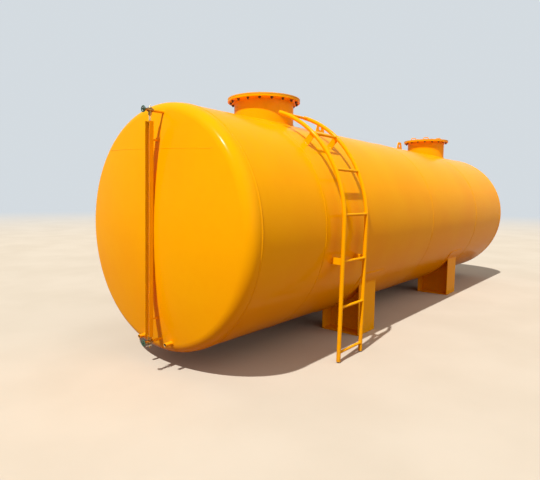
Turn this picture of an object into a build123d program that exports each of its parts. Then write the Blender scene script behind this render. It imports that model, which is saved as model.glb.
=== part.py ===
from build123d import *
import os
from math import acos, cos, pi, radians, sin, sqrt

# Horizontal welded steel storage tank on four plate legs, in millimetres.
# X runs along the tank, +Z is up, and z = 0 is the ground under the legs.
# The origin lies on the ground at the middle of the whole part's outline.

# Shell
shell_radius = 1050
shell_length = 6780
shell_thickness = 6
ground_clearance = 142
first_seam = 840
second_seam = 3360
third_seam = 5250
seat_gap = 0.3

# Dished heads
head_thickness = 8
head_flange = 34
knuckle_radius = 105
crown_radius = 4200

# Manways
near_manway_x = 1225
far_manway_x = 5720
near_neck_height = 202
far_neck_height = 228
neck_radius = 308
neck_thickness = 8
flange_radius = 375
flange_thickness = 20
cover_thickness = 12
bolt_inset = 32
bolt_hole_radius = 9
bolt_count = 18
near_bolt_turn = 13.3
far_bolt_turn = 18

# Round-bar handles on the manway covers, with a taller lifting bow between them
handle_spread = 218
handle_bearing = 127
handle_width = 80
handle_height = 63
bow_height = 80
handle_radius = 7
handle_bend = 18

# Lifting lugs
near_lug_x = 2285
far_lug_x = 4600
lug_base = 206
lug_top = 104
lug_height = 136
lug_corner = 40
lug_thickness = 12
lug_eye_radius = 28
lug_eye_height = 78

# Ladder
ladder_place = 1188
ladder_width = 398
stringer_radius = 19
stringer_wall = 3
stringer_cap = 4
stringer_standoff = 82
stringer_lean = 1.335
bend_start = 49
bend_spread = 15
foot_clearance = 12
rung_radius = 13
rung_count = 7
first_rung = 92
rung_pitch = 411
end_overrun = 37
bracket_width = 60
bracket_thickness = 6
bracket_bar = 200
lower_bracket_rung = 3
upper_bracket_rung = 6

# Legs and wear pads
leg_inset = 1998
leg_length = 370
leg_outer_inset = 200
leg_depth = 458
leg_plate = 10
base_thickness = 10
pad_length = 520
pad_thickness = 8
pad_top_angle = 28.8
pad_bottom_angle = 73
pad_corner = 40

# Level gauge on the near head
gauge_offset = -82
gauge_turn = 1.5
gauge_clearance = 17.46985
upper_cock_inset = 100
lower_cock_inset = 138
nozzle_radius = 10.7
nozzle_wall = 2.6
nozzle_inside = 25
cock_radius = 15
cock_hex_radius = 17
cock_back = 24
nut_length = 14
plug_height = 30
plug_taper = 12
gland_radius = 17
gland_neck_radius = 13
gland_drop = 40
glass_radius = 8
glass_bore = 5.5
glass_socket = 15
bonnet_radius = 11
bonnet_hex_radius = 13
bonnet_reach = 52
stem_radius = 4
stem_clearance = 0.05
stem_bore_depth = 18
stem_end_gap = 1
stem_tip = 4
wheel_gap = 6
wheel_radius = 27
wheel_rim = 4
wheel_hub = 8
wheel_hub_length = 8
wheel_spokes = 4
spoke_width = 5
guard_width = 55
guard_depth = 40
guard_wall = 3
guard_setback = 14
guard_top_inset = 185
guard_bottom_inset = 182
standoff_radius = 6
standoff_inset = 325
lever_pivot_drop = 27
lever_length = 50
lever_width = 9
lever_thickness = 4
lever_gap = 0.3
lever_hub_radius = 8
lever_side = 14
lever_tip_radius = 4
drain_radius = 7
drain_drop = 52

# Outlet stubs
outlet_radius = 17
outlet_wall = 3.4
outlet_offset = 180
outlet_inset = 115
outlet_reach = 208
outlet_inside = 40

axis_height = shell_radius + ground_clearance
knuckle_to_crown = crown_radius - knuckle_radius
crown_center = sqrt(knuckle_to_crown ** 2 - (shell_radius - knuckle_radius) ** 2) - head_flange
head_depth = crown_radius - crown_center
wheel_outer_face = bonnet_reach + wheel_gap + wheel_hub_length + stem_tip
gauge_standoff = head_depth + gauge_clearance
gauge_reach = gauge_standoff + wheel_outer_face
stringer_reach = shell_radius + stringer_standoff
bend_radius = shell_radius + bend_spread
lean = radians(stringer_lean)
ladder_reach = stringer_reach + bend_radius * (1 - cos(lean)) + stringer_radius

near_seam_x = (gauge_reach - shell_length - head_depth) / 2
far_seam_x = near_seam_x + shell_length
axis_y = (ladder_reach - shell_radius) / 2
axis_z = axis_height

tank_axis = Axis((near_seam_x, axis_y, axis_z), (1, 0, 0))
long_plane = Plane(origin=(near_seam_x, axis_y, axis_z), x_dir=(1, 0, 0), z_dir=(0, -1, 0))
middle_plane = Plane(origin=((near_seam_x + far_seam_x) / 2, 0, 0), x_dir=(0, 1, 0), z_dir=(1, 0, 0))
cross_plane = Plane(origin=(near_seam_x, axis_y, axis_z), x_dir=(0, 1, 0), z_dir=(1, 0, 0))

os.makedirs("parts", exist_ok=True)


def keep(piece, name):
    piece.label = name
    export_step(piece, f"parts/{name}.step")


def head_surface(radial):
    """How far the head's outside stands out from its seam at a distance from the tank's axis."""
    tangent_radius = crown_radius * (shell_radius - knuckle_radius) / (crown_radius - knuckle_radius)
    if radial <= tangent_radius:
        return sqrt(crown_radius ** 2 - radial ** 2) - crown_center
    return head_flange + sqrt(knuckle_radius ** 2 - (radial - shell_radius + knuckle_radius) ** 2)


def head_curve(inset):
    """The knuckle and crown arcs of a dished head, moved inwards by inset."""
    tilt = acos((shell_radius - knuckle_radius) / (crown_radius - knuckle_radius))
    knuckle = knuckle_radius - inset
    crown = crown_radius - inset
    knuckle_center = Vector(-head_flange, shell_radius - knuckle_radius)
    start = (-head_flange, shell_radius - inset)
    half_turn = (pi + tilt) / 2
    on_knuckle = knuckle_center + Vector(knuckle * cos(half_turn), knuckle * sin(half_turn))
    tangent = (crown_center - crown * sin(tilt), crown * cos(tilt))
    half_crown = (pi / 2 - tilt) / 2
    on_crown = (crown_center - crown * cos(half_crown), crown * sin(half_crown))
    apex = (crown_center - crown, 0)
    return start, on_knuckle, tangent, on_crown, apex


# Dished heads: a short straight flange, a knuckle and a shallow crown, spun about the tank's axis
outer = head_curve(0)
inner = head_curve(head_thickness)
with BuildPart() as plain_head:
    with BuildSketch(long_plane):
        with BuildLine():
            Line((0, shell_radius), outer[0])
            ThreePointArc(outer[0], outer[1], outer[2])
            ThreePointArc(outer[2], outer[3], outer[4])
            Line(outer[4], inner[4])
            ThreePointArc(inner[4], inner[3], inner[2])
            ThreePointArc(inner[2], inner[1], inner[0])
            Line(inner[0], (0, shell_radius - head_thickness))
            Line((0, shell_radius - head_thickness), (0, shell_radius))
        make_face()
    revolve(axis=tank_axis)

gauge_y = axis_y + gauge_offset
glass_x = near_seam_x - gauge_standoff
upper_cock_z = axis_z + shell_radius - upper_cock_inset
lower_cock_z = axis_z - shell_radius + lower_cock_inset
outlet_z = axis_z - shell_radius + outlet_inset
outlet_places = {"left_outlet": axis_y + outlet_offset, "right_outlet": axis_y - outlet_offset}
turn = radians(gauge_turn)
nozzle_places = []
for rise in (upper_cock_z - axis_z, lower_cock_z - axis_z):
    nozzle_y = axis_y + gauge_offset * cos(turn) - rise * sin(turn)
    nozzle_z = axis_z + gauge_offset * sin(turn) + rise * cos(turn)
    nozzle_places.append((near_seam_x, nozzle_y, nozzle_z))
outlet_holes = [(near_seam_x, place, outlet_z) for place in outlet_places.values()]

with BuildPart() as near_head:
    add(plain_head.part)
    with Locations(*nozzle_places):
        Cylinder(nozzle_radius + seat_gap, 2 * head_depth, rotation=(0, 90, 0), mode=Mode.SUBTRACT)
    with Locations(*outlet_holes):
        Cylinder(outlet_radius + seat_gap, 2 * head_depth, rotation=(0, 90, 0), mode=Mode.SUBTRACT)
keep(near_head.part, "near_head")

with BuildPart() as far_head:
    add(mirror(plain_head.part, about=middle_plane))
keep(far_head.part, "far_head")

# Shell courses between the ring seams, with the manway openings cut through them
seams = [0, first_seam, second_seam, third_seam, shell_length]
manways = {
    "near": (near_manway_x, near_neck_height, near_bolt_turn),
    "far": (far_manway_x, far_neck_height, far_bolt_turn),
}
neck_bore = neck_radius - neck_thickness
bolt_circle_radius = flange_radius - bolt_inset
manway_centers = [(near_seam_x + manway[0], axis_y, axis_z + shell_radius) for manway in manways.values()]
for number in range(1, len(seams)):
    start = seams[number - 1]
    with BuildPart() as shell_course:
        with BuildSketch(cross_plane.offset(start)):
            Circle(shell_radius)
            Circle(shell_radius - shell_thickness, mode=Mode.SUBTRACT)
        extrude(amount=seams[number] - start)
        with Locations(*manway_centers):
            Cylinder(neck_bore, shell_radius, mode=Mode.SUBTRACT)
    keep(shell_course.part, f"shell_course_{number}")


def bent_bar(plane, middle, height):
    """A round bar bent into a U, standing on the plane's x axis about a middle."""
    with BuildPart() as bar:
        with BuildLine(plane) as route:
            FilletPolyline(
                (middle - handle_width / 2, 0),
                (middle - handle_width / 2, height - handle_radius),
                (middle + handle_width / 2, height - handle_radius),
                (middle + handle_width / 2, 0),
                radius=handle_bend,
            )
        with BuildSketch(Plane(origin=route.line @ 0, z_dir=plane.y_dir)):
            Circle(handle_radius)
        sweep(path=route.wires()[0])
    return bar.part


# Manways: a neck that sits on the shell, a ring flange and a bolted blank cover with its handles
bearing = radians(handle_bearing)
handles = {-handle_spread: handle_height, 0: bow_height, handle_spread: handle_height}
for name, (place, height, bolt_turn) in manways.items():
    manway_x = near_seam_x + place
    flange_z = axis_z + shell_radius + height
    with BuildPart() as manway_neck:
        with BuildSketch(Plane.XY.offset(flange_z)):
            with Locations((manway_x, axis_y)):
                Circle(neck_radius)
                Circle(neck_bore, mode=Mode.SUBTRACT)
        extrude(amount=-(height + shell_radius / 2))
        with Locations((manway_x, axis_y, axis_z)):
            Cylinder(shell_radius + seat_gap, 3 * neck_radius, rotation=(0, 90, 0), mode=Mode.SUBTRACT)
    keep(manway_neck.part, f"{name}_manway_neck")

    with BuildPart() as manway_flange:
        with BuildSketch(Plane.XY.offset(flange_z)):
            with Locations((manway_x, axis_y)):
                Circle(flange_radius)
                Circle(neck_bore, mode=Mode.SUBTRACT)
                with PolarLocations(bolt_circle_radius, bolt_count, start_angle=bolt_turn):
                    Circle(bolt_hole_radius, mode=Mode.SUBTRACT)
        extrude(amount=flange_thickness)
    keep(manway_flange.part, f"{name}_manway_flange")

    handle_plane = Plane(
        origin=(manway_x, axis_y, flange_z + flange_thickness + cover_thickness),
        x_dir=(cos(bearing), sin(bearing), 0),
        z_dir=(sin(bearing), -cos(bearing), 0),
    )
    bars = [bent_bar(handle_plane, middle, tall) for middle, tall in handles.items()]
    with BuildPart() as manway_cover:
        with BuildSketch(Plane.XY.offset(flange_z + flange_thickness)):
            with Locations((manway_x, axis_y)):
                Circle(flange_radius)
                with PolarLocations(bolt_circle_radius, bolt_count, start_angle=bolt_turn):
                    Circle(bolt_hole_radius, mode=Mode.SUBTRACT)
        extrude(amount=cover_thickness)
        add(bars)
    keep(manway_cover.part, f"{name}_manway_cover")

# Lifting lugs: eye plates that stand on the top line of the shell
for name, place in {"near": near_lug_x, "far": far_lug_x}.items():
    with BuildPart() as lifting_lug:
        with BuildSketch(long_plane) as lug_outline:
            with Locations((place, shell_radius + seat_gap)):
                Polygon(
                    (-lug_base / 2, 0),
                    (lug_base / 2, 0),
                    (lug_top / 2, lug_height),
                    (-lug_top / 2, lug_height),
                    align=None,
                )
            top_corners = lug_outline.vertices().group_by(Axis.Y)[-1]
            fillet(top_corners, radius=lug_corner)
            with Locations((place, shell_radius + lug_eye_height)):
                Circle(lug_eye_radius, mode=Mode.SUBTRACT)
        extrude(amount=lug_thickness / 2, both=True)
    keep(lifting_lug.part, f"{name}_lifting_lug")

# Ladder: two capped pipes that lean out a little on their way up, then bend over the shell
ladder_x = near_seam_x + ladder_place
stringer_places = {"near": ladder_x - ladder_width / 2, "far": ladder_x + ladder_width / 2}
bend_z = axis_z + bend_start
bend_center = Vector(0, axis_y - stringer_reach + bend_radius * cos(lean), bend_z + bend_radius * sin(lean))
straight_length = bend_z / cos(lean)
ladder_top = first_rung + (rung_count - 1) * rung_pitch + end_overrun


def along_stringer(distance):
    """The place and outward direction of the stringers' centreline, a distance up from the ground."""
    past_bend = distance - straight_length
    turn = max(past_bend, 0) / bend_radius - lean
    outward = Vector(0, -cos(turn), sin(turn))
    rise = Vector(0, -sin(lean), cos(lean))
    return bend_center + outward * bend_radius + rise * min(past_bend, 0), outward


def across_stringer(place, distance):
    """The plane square to a stringer at a distance along it."""
    spot, outward = along_stringer(distance)
    return Plane(origin=(place, spot.Y, spot.Z), x_dir=(1, 0, 0), z_dir=(0, outward.Z, -outward.Y))


foot = along_stringer(foot_clearance)[0]
bend_foot = along_stringer(straight_length)[0]
half_bend = along_stringer((straight_length + ladder_top) / 2)[0]
stringer_end = along_stringer(ladder_top)[0]
stringer_spaces = []
for name, place in stringer_places.items():
    with BuildLine() as route:
        Line((place, foot.Y, foot.Z), (place, bend_foot.Y, bend_foot.Z))
        ThreePointArc(
            (place, bend_foot.Y, bend_foot.Z),
            (place, half_bend.Y, half_bend.Z),
            (place, stringer_end.Y, stringer_end.Z),
        )
    with BuildPart() as stringer:
        with BuildSketch(across_stringer(place, foot_clearance)):
            Circle(stringer_radius)
            Circle(stringer_radius - stringer_wall, mode=Mode.SUBTRACT)
        sweep(path=route.wires()[0])
        with BuildSketch(across_stringer(place, ladder_top)):
            Circle(stringer_radius)
        extrude(amount=stringer_cap)
    keep(stringer.part, f"{name}_stringer")

    with BuildPart() as stringer_space:
        with BuildSketch(across_stringer(place, foot_clearance)):
            Circle(stringer_radius + seat_gap)
        sweep(path=route.wires()[0])
    stringer_spaces.append(stringer_space.part)

# Rungs with their ends coped round the stringers
for number in range(1, rung_count + 1):
    spot = along_stringer(first_rung + (number - 1) * rung_pitch)[0]
    with BuildPart() as rung:
        with BuildSketch(Plane(origin=(ladder_x, spot.Y, spot.Z), x_dir=(0, 1, 0), z_dir=(1, 0, 0))):
            Circle(rung_radius)
        extrude(amount=ladder_width / 2, both=True)
        add(stringer_spaces, mode=Mode.SUBTRACT)
    keep(rung.part, f"rung_{number}")

# Flat-bar brackets between the stringers and the shell
for name, rung_number in {"lower": lower_bracket_rung, "upper": upper_bracket_rung}.items():
    spot, outward = along_stringer(first_rung + (rung_number - 1) * rung_pitch)
    with BuildPart() as ladder_brackets:
        for place in stringer_places.values():
            with BuildSketch(Plane(origin=(place, spot.Y, spot.Z), x_dir=outward, z_dir=(1, 0, 0))):
                Rectangle(bracket_bar, bracket_width, align=(Align.MAX, Align.CENTER))
            extrude(amount=bracket_thickness / 2, both=True)
        add(stringer_spaces, mode=Mode.SUBTRACT)
        with Locations((ladder_x, axis_y, axis_z)):
            Cylinder(shell_radius + seat_gap, 2 * ladder_width, rotation=(0, 90, 0), mode=Mode.SUBTRACT)
    keep(ladder_brackets.part, f"{name}_ladder_brackets")

# Wear pads and legs under both ends, on both sides of the tank
pad_inner = shell_radius + seat_gap
pad_outer = pad_inner + pad_thickness
leg_top = pad_outer + seat_gap
leg_outer = shell_radius - leg_outer_inset
leg_inner = leg_outer - leg_depth
leg_places = {"near": leg_inset, "far": shell_length - leg_inset}
for end, place in leg_places.items():
    leg_x = near_seam_x + place
    for side, sign in {"left": 1, "right": -1}.items():
        first_angle = -pad_bottom_angle if sign > 0 else -180 + pad_top_angle
        with BuildPart() as wear_pad:
            with BuildSketch(cross_plane.offset(place - pad_length / 2)):
                with BuildLine():
                    inner_arc = CenterArc((0, 0), pad_inner, first_angle, pad_bottom_angle - pad_top_angle)
                    outer_arc = CenterArc((0, 0), pad_outer, first_angle, pad_bottom_angle - pad_top_angle)
                    Line(inner_arc @ 0, outer_arc @ 0)
                    Line(inner_arc @ 1, outer_arc @ 1)
                make_face()
            extrude(amount=pad_length)
            corner_edges = wear_pad.edges().sort_by(SortBy.LENGTH)[:4]
            fillet(corner_edges, radius=pad_corner)
        keep(wear_pad.part, f"{end}_{side}_wear_pad")

        outer_y = axis_y + sign * (leg_outer - leg_plate / 2)
        inner_y = axis_y + sign * (leg_inner + leg_plate / 2)
        web_y = axis_y + sign * (leg_outer + leg_inner) / 2
        with BuildPart() as leg:
            with BuildSketch(Plane.XY):
                with Locations((leg_x, web_y)):
                    Rectangle(leg_length, leg_outer - leg_inner)
            extrude(amount=base_thickness)
            with BuildSketch(Plane.XY.offset(base_thickness)):
                with Locations((leg_x, outer_y), (leg_x, inner_y)):
                    Rectangle(leg_length, leg_plate)
                with Locations((leg_x, web_y)):
                    Rectangle(leg_plate, leg_outer - leg_inner)
            extrude(amount=axis_height - base_thickness)
            with Locations((leg_x, axis_y, axis_z)):
                Cylinder(leg_top, 2 * leg_length, rotation=(0, 90, 0), mode=Mode.SUBTRACT)
        keep(leg.part, f"{end}_{side}_leg")

# Level gauge: two pipes from the head carry brass cocks, with a glass tube between them.
# The pieces are made upright, then turned a little about the tank's axis, as the gauge is fitted.
def keep_turned(piece, name):
    keep(piece.rotate(tank_axis, gauge_turn), name)


def gauge_plane(place, height, direction):
    """A plane square to the tank's axis on the gauge's line, that faces along or against X."""
    return Plane(origin=(place, gauge_y, height), x_dir=(0, 1, 0), z_dir=(direction, 0, 0))


cock_heights = {"upper": upper_cock_z, "lower": lower_cock_z}
glass_direction = {"upper": -1, "lower": 1}
bonnet_face_x = glass_x - bonnet_reach
for name, height in cock_heights.items():
    toward_glass = glass_direction[name]
    root_x = near_seam_x - head_surface(Vector(0, gauge_offset, height - axis_z).length)
    with BuildPart() as nozzle:
        with BuildSketch(gauge_plane(glass_x + cock_back, height, 1)):
            Circle(nozzle_radius)
            Circle(nozzle_radius - nozzle_wall, mode=Mode.SUBTRACT)
        extrude(amount=root_x + nozzle_inside - glass_x - cock_back)
    keep_turned(nozzle.part, f"{name}_nozzle")

    with BuildPart() as cock:
        with BuildSketch(gauge_plane(glass_x + cock_back, height, -1)):
            RegularPolygon(cock_hex_radius, 6)
        extrude(amount=nut_length)
        with BuildSketch(gauge_plane(glass_x + cock_back, height, -1)):
            Circle(cock_radius)
        extrude(amount=2 * cock_back)
        with BuildSketch(gauge_plane(glass_x, height, -1)):
            Circle(bonnet_radius)
        extrude(amount=bonnet_reach)
        with BuildSketch(gauge_plane(bonnet_face_x, height, 1)):
            RegularPolygon(bonnet_hex_radius, 6)
        extrude(amount=nut_length)
        with BuildSketch(Plane(origin=(glass_x, gauge_y, height), x_dir=(1, 0, 0), z_dir=(0, 0, toward_glass))):
            Circle(gland_neck_radius)
        extrude(amount=gland_drop - nut_length)
        with BuildSketch(
            Plane(
                origin=(glass_x, gauge_y, height + toward_glass * gland_drop),
                x_dir=(1, 0, 0),
                z_dir=(0, 0, -toward_glass),
            )
        ):
            RegularPolygon(gland_radius, 6)
        extrude(amount=nut_length)
        if name == "upper":
            with BuildSketch(Plane.XY.offset(height)):
                with Locations((glass_x, gauge_y)):
                    Circle(drain_radius)
            extrude(amount=plug_height, taper=plug_taper)
        else:
            with BuildSketch(Plane.XY.offset(height)):
                with Locations((glass_x, gauge_y)):
                    Circle(drain_radius)
            extrude(amount=-drain_drop)
            with BuildSketch(Plane.XZ.offset(-gauge_y)):
                with Locations((glass_x, height - lever_pivot_drop)):
                    Circle(lever_hub_radius)
            extrude(amount=lever_side, both=True)
        with BuildSketch(
            Plane(
                origin=(glass_x, gauge_y, height + toward_glass * gland_drop),
                x_dir=(1, 0, 0),
                z_dir=(0, 0, -toward_glass),
            )
        ):
            Circle(glass_radius + seat_gap)
        extrude(amount=glass_socket, mode=Mode.SUBTRACT)
        with BuildSketch(gauge_plane(bonnet_face_x, height, 1)):
            Circle(stem_radius + stem_clearance)
        extrude(amount=stem_bore_depth + stem_end_gap, mode=Mode.SUBTRACT)
    keep_turned(cock.part, f"{name}_cock")

    with BuildPart() as handwheel:
        wheel_x = bonnet_face_x - wheel_gap - wheel_hub_length / 2
        tip_x = wheel_x - wheel_hub_length / 2 - stem_tip
        wheel_plane = gauge_plane(wheel_x, height, 1)
        with BuildSketch(wheel_plane):
            Circle(wheel_hub)
        extrude(amount=wheel_hub_length / 2, both=True)
        with BuildSketch(gauge_plane(tip_x, height, 1)):
            Circle(stem_radius)
        extrude(amount=bonnet_face_x + stem_bore_depth - tip_x)
        with BuildSketch(Plane.XZ.offset(-gauge_y)):
            with Locations((wheel_x, height + wheel_radius - wheel_rim)):
                Circle(wheel_rim)
        revolve(axis=Axis((wheel_x, gauge_y, height), (1, 0, 0)))
        with BuildSketch(wheel_plane):
            with PolarLocations(0, wheel_spokes):
                with Locations(((wheel_radius - wheel_rim) / 2, 0)):
                    Rectangle(wheel_radius - wheel_rim, spoke_width)
        extrude(amount=spoke_width / 2, both=True)
    keep_turned(handwheel.part, f"{name}_handwheel")

with BuildPart() as gauge_glass:
    with BuildSketch(Plane.XY.offset(lower_cock_z + gland_drop - glass_socket + seat_gap)):
        with Locations((glass_x, gauge_y)):
            Circle(glass_radius)
            Circle(glass_bore, mode=Mode.SUBTRACT)
    extrude(amount=upper_cock_z - lower_cock_z - 2 * (gland_drop - glass_socket + seat_gap))
keep_turned(gauge_glass.part, "gauge_glass")

# Guard channel, open to the front, with the glass inside it, held off the head by three round bars
guard_back = gauge_standoff - guard_setback
guard_back_x = near_seam_x - guard_back
guard_top_z = axis_z + shell_radius - guard_top_inset
guard_bottom_z = axis_z - shell_radius + guard_bottom_inset
standoff_height = shell_radius - standoff_inset
with BuildPart() as gauge_guard:
    with BuildSketch(Plane.XY.offset(guard_bottom_z)):
        with Locations((guard_back_x, gauge_y)):
            Rectangle(guard_depth, guard_width, align=(Align.MAX, Align.CENTER))
        with Locations((guard_back_x - guard_wall, gauge_y)):
            Rectangle(
                guard_depth, guard_width - 2 * guard_wall, align=(Align.MAX, Align.CENTER), mode=Mode.SUBTRACT
            )
    extrude(amount=guard_top_z - guard_bottom_z)
keep_turned(gauge_guard.part, "gauge_guard")

with BuildPart() as guard_standoffs:
    with BuildSketch(gauge_plane(guard_back_x, axis_z, 1)):
        with Locations((0, -standoff_height), (0, 0), (0, standoff_height)):
            Circle(standoff_radius)
    extrude(amount=guard_back)
    with Locations((near_seam_x + crown_center, axis_y, axis_z)):
        Sphere(crown_radius + seat_gap, mode=Mode.SUBTRACT)
keep_turned(guard_standoffs.part, "guard_standoffs")

with BuildPart() as drain_lever:
    lever_z = lower_cock_z - lever_pivot_drop
    lever_face_y = gauge_y - lever_side - lever_gap
    with BuildSketch(Plane.XZ.offset(-lever_face_y)):
        with Locations((glass_x, lever_z)):
            Circle(lever_hub_radius)
            Rectangle(lever_length, lever_width, align=(Align.MAX, Align.CENTER))
    extrude(amount=lever_thickness)
    tip_corners = drain_lever.edges().filter_by(Axis.Y).group_by(Axis.X)[0]
    fillet(tip_corners, radius=lever_tip_radius)
keep_turned(drain_lever.part, "drain_lever")

# Outlet stubs: open pipes that pass through the head near its foot
for name, place in outlet_places.items():
    root_x = near_seam_x - head_surface(Vector(0, place - axis_y, outlet_z - axis_z).length)
    with BuildPart() as outlet:
        with BuildSketch(
            Plane(origin=(near_seam_x - outlet_reach, place, outlet_z), x_dir=(0, 1, 0), z_dir=(1, 0, 0))
        ):
            Circle(outlet_radius)
            Circle(outlet_radius - outlet_wall, mode=Mode.SUBTRACT)
        extrude(amount=root_x + outlet_inside - near_seam_x + outlet_reach)
    keep(outlet.part, name)
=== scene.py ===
"""The looks of the horizontal storage tank, in metres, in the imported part's own frame."""

import random
from math import cos, hypot, radians, sin, sqrt, tau

import bpy
from mathutils import Matrix, Vector


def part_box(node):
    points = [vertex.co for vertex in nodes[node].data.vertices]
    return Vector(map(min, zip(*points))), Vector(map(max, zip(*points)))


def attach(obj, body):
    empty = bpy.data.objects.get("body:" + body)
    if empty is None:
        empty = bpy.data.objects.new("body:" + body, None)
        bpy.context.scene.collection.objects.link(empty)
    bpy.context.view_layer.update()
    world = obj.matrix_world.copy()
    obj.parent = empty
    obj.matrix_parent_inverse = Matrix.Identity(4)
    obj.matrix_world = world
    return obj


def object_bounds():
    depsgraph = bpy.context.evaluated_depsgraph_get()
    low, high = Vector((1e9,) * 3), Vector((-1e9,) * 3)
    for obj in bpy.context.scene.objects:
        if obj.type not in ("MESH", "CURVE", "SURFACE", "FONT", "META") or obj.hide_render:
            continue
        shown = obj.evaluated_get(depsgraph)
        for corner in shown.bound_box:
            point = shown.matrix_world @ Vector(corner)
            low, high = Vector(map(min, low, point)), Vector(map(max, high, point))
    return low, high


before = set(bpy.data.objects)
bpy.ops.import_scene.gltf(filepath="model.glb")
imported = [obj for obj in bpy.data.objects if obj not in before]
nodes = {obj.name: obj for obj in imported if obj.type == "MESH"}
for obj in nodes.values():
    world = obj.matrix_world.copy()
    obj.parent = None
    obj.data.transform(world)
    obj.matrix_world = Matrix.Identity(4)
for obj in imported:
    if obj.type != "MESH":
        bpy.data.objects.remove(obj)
cad_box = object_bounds()
draw = random.Random(1637)

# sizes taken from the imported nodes
first_low, first_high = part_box("shell_course_1")
AXIS_Y = (first_low.y + first_high.y) / 2
AXIS_Z = (first_low.z + first_high.z) / 2
RADIUS = (first_high.z - first_low.z) / 2
NEAR_X = first_low.x
FAR_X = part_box("shell_course_4")[1].x
SEAMS = [NEAR_X] + [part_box(f"shell_course_{k}")[1].x for k in range(1, 5)]

# sizes repeated from the part's source
CROWN = 4.2
KNUCKLE = 0.105
HEAD_FLANGE = 0.034
CROWN_CENTER = sqrt((CROWN - KNUCKLE) ** 2 - (RADIUS - KNUCKLE) ** 2) - HEAD_FLANGE
NECK_RADIUS = 0.308
COVER_RADIUS = 0.375
COVER_THICKNESS = 0.012
BOLT_CIRCLE = 0.343
BOLT_COUNT = 18
BOLT_TURNS = {"near": radians(13.3), "far": radians(18)}
HANDLE_SPREAD = 0.218
HANDLE_BEARING = radians(127)
HANDLE_WIDTH = 0.08
HANDLE_RADIUS = 0.007
STRINGER_RADIUS = 0.019
STRINGER_STANDOFF = 0.082
LEAN = radians(1.335)
BEND_Z = AXIS_Z + 0.049
BEND_RADIUS = RADIUS + 0.015
BEND_Y = AXIS_Y - RADIUS - STRINGER_STANDOFF
RUNG_COUNT = 7
RUNG_RADIUS = 0.013
RUNG_STEP = 0.411
FIRST_RUNG = 0.092
BRACKET_RUNGS = {"lower": 2, "upper": 5}
BRACKET_WIDTH = 0.06
BRACKET_THICKNESS = 0.006
PAD_THICKNESS = 0.008
PAD_ANGLES = (28.8, 73.0)
PAD_CORNER = 0.04
LEG_LENGTH = 0.37
LEG_OUTER = 0.85
LEG_INNER = 0.392
LEG_PLATE = 0.01
GAUGE_OFFSET = -0.082
GAUGE_TURN = radians(1.5)
GLASS_X = NEAR_X - 0.267
OUTLET_MOUTH_X = NEAR_X - 0.208
STANDOFF_RISES = (-0.725, 0, 0.725)
STANDOFF_RADIUS = 0.006
UPPER_COCK_RISE = 0.95
OUTLET_WALL = 0.0034
WHEEL_FACE = 0.066
STEM_TIP = 0.004

# weld beads on shell and heads: half the width, and the rise
HEAD_SEAM_BEAD = (0.0100, 0.0036)
RING_SEAM_BEAD = (0.007, 0.0026)
LONG_SEAM_BEAD = (0.006, 0.0022)
CHORD_BEAD = (0.0042, 0.0010)

# round weld beads elsewhere: their radius
NECK_ROOT_BEAD = 0.0085
FLANGE_BEAD = 0.006
HANDLE_BEAD = 0.003
LUG_BEAD = 0.006
RUNG_BEAD = 0.0036
BRACKET_SHELL_BEAD = 0.0045
BRACKET_PIPE_BEAD = 0.0035
PAD_BEAD = 0.0055
LEG_TOP_BEAD = 0.0055
WEB_TOP_BEAD = 0.005
LEG_BEAD = 0.0045
OUTLET_BEAD = 0.0055
NOZZLE_BEAD = 0.0042
STANDOFF_HEAD_BEAD = 0.0035
STANDOFF_GUARD_BEAD = 0.003
THREAD_BEAD = 0.0009

# how much a bead varies in radius, wanders to a side and shrinks at its ends, and the length of its ripples
BEAD_SWELL = 0.09
BEAD_WANDER = 0.08
BEAD_END = 0.55
BEAD_RIPPLE = 0.004

# points along the welds, or the spacing between them
SEAM_POINTS = 640
NECK_POINTS = 300
FLANGE_POINTS = 220
RUNG_POINTS = 28
BRACKET_POINTS = 9
WEB_POINTS = 60
SMALL_RING_POINTS = 24
THREAD_POINTS = 40
LONG_SEAM_SPACING = 0.012
PAD_SPACING = 0.01
LINE_SPACING = 0.008
LUG_SPACING = 0.006
ROOT_SPACING = 0.004

# the straight seam across each head: its height above the axis, its slope, its half length, and how far
# from the axis it still faces straight out
CHORD_HEIGHT = 0.664
CHORD_TILT = 0.045
CHORD_REACH = sqrt((RADIUS - 0.10) ** 2 - CHORD_HEIGHT ** 2)
CHORD_POINTS = 150
CHORD_FLAT = 0.85

# the long seam of each shell course, in degrees up from the +Y side
LONG_SEAM_ANGLES = (34, 56, 37, 61)

# bolts and nuts of the manways, measured along the bolt from the flange's underside
STUD_RADIUS = 0.0078
STUD_TIP_RADIUS = 0.0062
STUD_STICKS_OUT = (0.004, 0.008)
STUD_CHAMFER = 0.0015
STUD_TOP = -0.004
WASHER_BORE = 0.0085
WASHER_RADIUS = 0.0145
WASHER_BOTTOM = -0.003
NUT_BOTTOM = -0.0155
NUT_FLATS = 0.0225
HEAD_FLATS = 0.0235
HEAD_RISE = 0.0065
SEAT_GAP = 0.0002
GASKET_HALF = 0.0012
GASKET_WIDTH = 0.01
GASKET_SHOWS = 0.0003
STUD_SIDES = 16
WASHER_SIDES = 20
GASKET_SIDES = 160

# how far the chamfer of a bolt head or nut runs along it, as a share of the cut at its corner
CHAMFER = 0.6

# small parts of the gauge and outlets
WHEEL_NUT_FLATS = 0.0125
WHEEL_NUT_TURN = 0.3
VENT_PROFILE = (
    (0.0135, 0.0095), (0.0135, 0.0125), (0.0185, 0.0125), (0.0200, 0.0115), (0.0345, 0.0036), (0.0360, 0.0024)
)
VENT_SIDES = 24
THREAD_TURNS = 9
THREAD_PITCH = 0.0023
THREAD_START = 0.0015
THREAD_SINK = 0.0004

# the lining of the outlets' bores, whose dark scale is partly painted shade: depths from the mouth and the
# thickness there, then those at its inner end
LINING = ((0.001, 0.0002), (0.012, 0.0012))
LINING_END = (0.002, 0.0020)
LINING_BACK = 0.0001

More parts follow.
